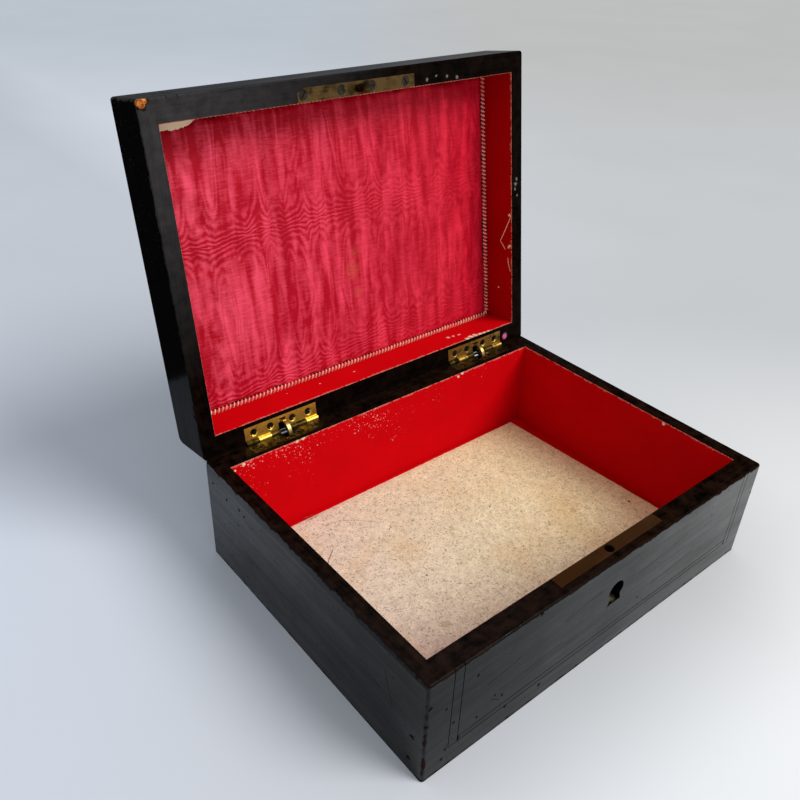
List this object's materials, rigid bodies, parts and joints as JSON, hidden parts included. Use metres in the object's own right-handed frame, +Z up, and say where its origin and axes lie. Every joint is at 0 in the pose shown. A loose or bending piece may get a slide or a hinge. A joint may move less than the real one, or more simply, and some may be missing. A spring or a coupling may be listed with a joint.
{
  "type": "glove box",
  "caption": "Hinged wooden box with a padded silk lid lining, stop hinges that hold the lid open past upright, and a cut box lock.",
  "frame": {"origin": "middle of the underside", "axes": "+X to the right along the front, +Y to the hinged back, +Z up"},
  "size_m": [0.26, 0.2573, 0.2602],
  "materials": {
    "ebonised_wood": "ebonised fruitwood, french polished, dulled and worn at the arrises",
    "string_wood": "narrow veneer string, stained and polished with the board",
    "bottom_wood": "plain poplar, planed",
    "red_paper": "glazed red lining paper, torn at its upper edges",
    "card": "pulp card",
    "felt": "faded woollen felt with short fibres",
    "silk": "watered crimson silk over wadding",
    "gimp": "faded twisted silk cord",
    "hinge_brass": "rolled brass, tarnished brown with bright worn places",
    "stop_brass": "bright brass, rubbed by use",
    "lock_brass": "rolled brass, dark and olive with age",
    "iron": "forged iron, dulled",
    "screw_steel": "turned steel, slotted, dulled",
    "wax": "pink sealing wax"
  },
  "bodies": {
    "base": {"base_front_board": "ebonised_wood", "base_front_paper": "red_paper", "base_back_board": "ebonised_wood", "base_back_paper": "red_paper", "base_left_board": "ebonised_wood", "base_left_paper": "red_paper", "base_right_board": "ebonised_wood", "base_right_paper": "red_paper", "base_bottom_board": "bottom_wood", "base_string_left": "string_wood", "base_string_foot": "string_wood", "base_string_right": "string_wood", "floor_card": "card", "floor_cloth": "felt", "left_hinge_base_leaf": "hinge_brass", "left_hinge_pin": "iron", "right_hinge_base_leaf": "hinge_brass", "right_hinge_pin": "iron", "base_hinge_screws": "screw_steel", "lock_plate": "lock_brass", "lock_case": "iron", "lock_spring": "iron", "lock_key_pin": "iron", "lock_guide_studs": "iron", "lock_screws": "screw_steel"},
    "lid": {"lid_front_board": "ebonised_wood", "lid_front_paper": "red_paper", "lid_back_board": "ebonised_wood", "lid_back_paper": "red_paper", "lid_left_board": "ebonised_wood", "lid_left_paper": "red_paper", "lid_right_board": "ebonised_wood", "lid_right_paper": "red_paper", "lid_top_board": "ebonised_wood", "lid_string_left": "string_wood", "lid_string_head": "string_wood", "lid_string_right": "string_wood", "lid_hinge_screws": "screw_steel", "silk_panel": "silk", "silk_cord": "gimp", "left_hinge_lid_leaf": "hinge_brass", "right_hinge_lid_leaf": "hinge_brass", "strike_plate": "lock_brass", "strike_stud": "lock_brass", "strike_screws": "screw_steel", "rim_plug": "wax"},
    "left_stop_arm": {"left_stop_arm": "stop_brass"},
    "right_stop_arm": {"right_stop_arm": "stop_brass"},
    "bolt": {"lock_bolt": "iron"}
  },
  "joints": [
    {"name": "lid_hinge", "type": "hinge", "parent": "base", "child": "lid", "pos_m": [0, 0.0975, 0.0676], "axis": [1, 0, 0], "range_deg": [0, 98.8]},
    {"name": "left_stop_arm_swing", "type": "hinge", "parent": "base", "child": "left_stop_arm", "pos_m": [0, 0.0975, 0.0676], "axis": [1, 0, 0], "range_deg": [0, 49.4]},
    {"name": "right_stop_arm_swing", "type": "hinge", "parent": "base", "child": "right_stop_arm", "pos_m": [0, 0.0975, 0.0676], "axis": [1, 0, 0], "range_deg": [0, 49.4]},
    {"name": "bolt_slide", "type": "slide", "parent": "base", "child": "bolt", "axis": [-1, 0, 0], "range_m": [0, 0.005], "deforming": ["lock_spring"]}
  ],
  "couplings": [
    {"joint": "left_stop_arm_swing", "follows": "lid_hinge", "ratio": 0.5},
    {"joint": "right_stop_arm_swing", "follows": "lid_hinge", "ratio": 0.5}
  ]
}
